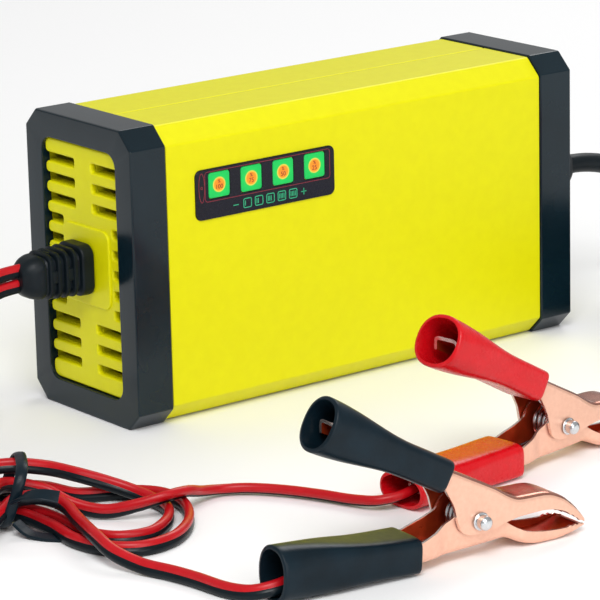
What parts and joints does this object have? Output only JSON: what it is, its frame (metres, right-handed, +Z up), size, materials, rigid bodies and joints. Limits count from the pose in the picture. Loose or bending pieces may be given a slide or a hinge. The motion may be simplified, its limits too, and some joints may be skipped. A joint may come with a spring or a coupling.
{
  "type": "car battery charger",
  "caption": "Mains battery charger in a two-part case with vented end caps, charge display, twin low-voltage leads on spring battery clamps, and a mains lead with plug.",
  "frame": {"origin": "middle of the case, at the bottom of the end caps it stands on", "axes": "+X towards the mains end, -Y towards the side with the charge display, +Z up"},
  "size_m": [0.3213, 0.1892, 0.0827],
  "materials": {
    "yellow_case": "satin moulded, slight orange peel",
    "black_cap": "glossy moulded",
    "soft_black": "satin",
    "display_label": "printed film",
    "green_mark": "satin",
    "clear_window": "clear",
    "circuit_board": "solder mask",
    "ferrite": "matte",
    "transformer_tape": "tape",
    "capacitor_sleeve": "satin",
    "chip_case": "matte",
    "heatsink": "brushed",
    "steel": "plated",
    "copper_plate": "copper plated",
    "copper_winding": "enamelled",
    "fuse_glass": "clear",
    "red_cord": "satin",
    "black_sleeve": "satin",
    "red_sleeve": "glossy"
  },
  "bodies": {
    "charger": {"body_front_shell": "yellow_case", "body_back_shell": "yellow_case", "left_vent_panel": "yellow_case", "right_vent_panel": "yellow_case", "left_end_cap": "black_cap", "right_end_cap": "black_cap", "dc_strain_relief": "soft_black", "mains_strain_relief": "soft_black", "mains_cord": "soft_black", "mains_coil": "soft_black", "mains_cord_tail": "soft_black", "mains_plug_body": "soft_black", "cord_tie": "soft_black", "mains_coil_tie": "soft_black", "case_screw_1": "steel", "case_screw_2": "steel", "case_screw_3": "steel", "case_screw_4": "steel", "mains_plug_blade_1": "steel", "mains_plug_blade_2": "steel", "display_plate": "display_label", "display_board": "circuit_board", "main_circuit_board": "circuit_board", "level_led_1": "green_mark", "level_led_2": "green_mark", "level_led_3": "green_mark", "level_led_4": "green_mark", "level_window_1": "clear_window", "level_window_2": "clear_window", "level_window_3": "clear_window", "level_window_4": "clear_window", "transformer_core": "ferrite", "transformer_winding": "transformer_tape", "input_capacitor": "capacitor_sleeve", "output_capacitor_1": "capacitor_sleeve", "output_capacitor_2": "capacitor_sleeve", "input_choke": "copper_winding", "output_choke": "copper_winding", "input_heatsink": "heatsink", "output_heatsink": "heatsink", "switching_transistor": "chip_case", "output_diode": "chip_case", "bridge_rectifier": "chip_case", "controller_chip": "chip_case", "mains_fuse": "fuse_glass", "red_clamp_lead": "red_cord", "black_clamp_lead": "black_sleeve", "black_lower_arm": "copper_plate", "black_lower_sleeve": "black_sleeve", "black_rivet": "steel", "black_spring": "steel", "red_lower_arm": "copper_plate", "red_lower_sleeve": "red_sleeve", "red_rivet": "steel", "red_spring": "steel"},
    "black_clamp_upper_half": {"black_upper_arm": "copper_plate", "black_upper_sleeve": "black_sleeve"},
    "red_clamp_upper_half": {"red_upper_arm": "copper_plate", "red_upper_sleeve": "red_sleeve"}
  },
  "joints": [
    {"name": "black_clamp_opening", "type": "hinge", "parent": "charger", "child": "black_clamp_upper_half", "pos_m": [-0.0748, -0.1556, 0.00985], "axis": [-0.0698, -0.9976, 0], "range_deg": [0, 24], "stiffness_Nm_per_rad": 0.25, "springref_deg": -45.84, "deforming": ["black_spring"]},
    {"name": "red_clamp_opening", "type": "hinge", "parent": "charger", "child": "red_clamp_upper_half", "pos_m": [-0.0094, -0.1132, 0.00985], "axis": [0.1045, -0.9945, 0], "range_deg": [0, 24], "stiffness_Nm_per_rad": 0.25, "springref_deg": -45.84, "deforming": ["red_spring"]}
  ]
}
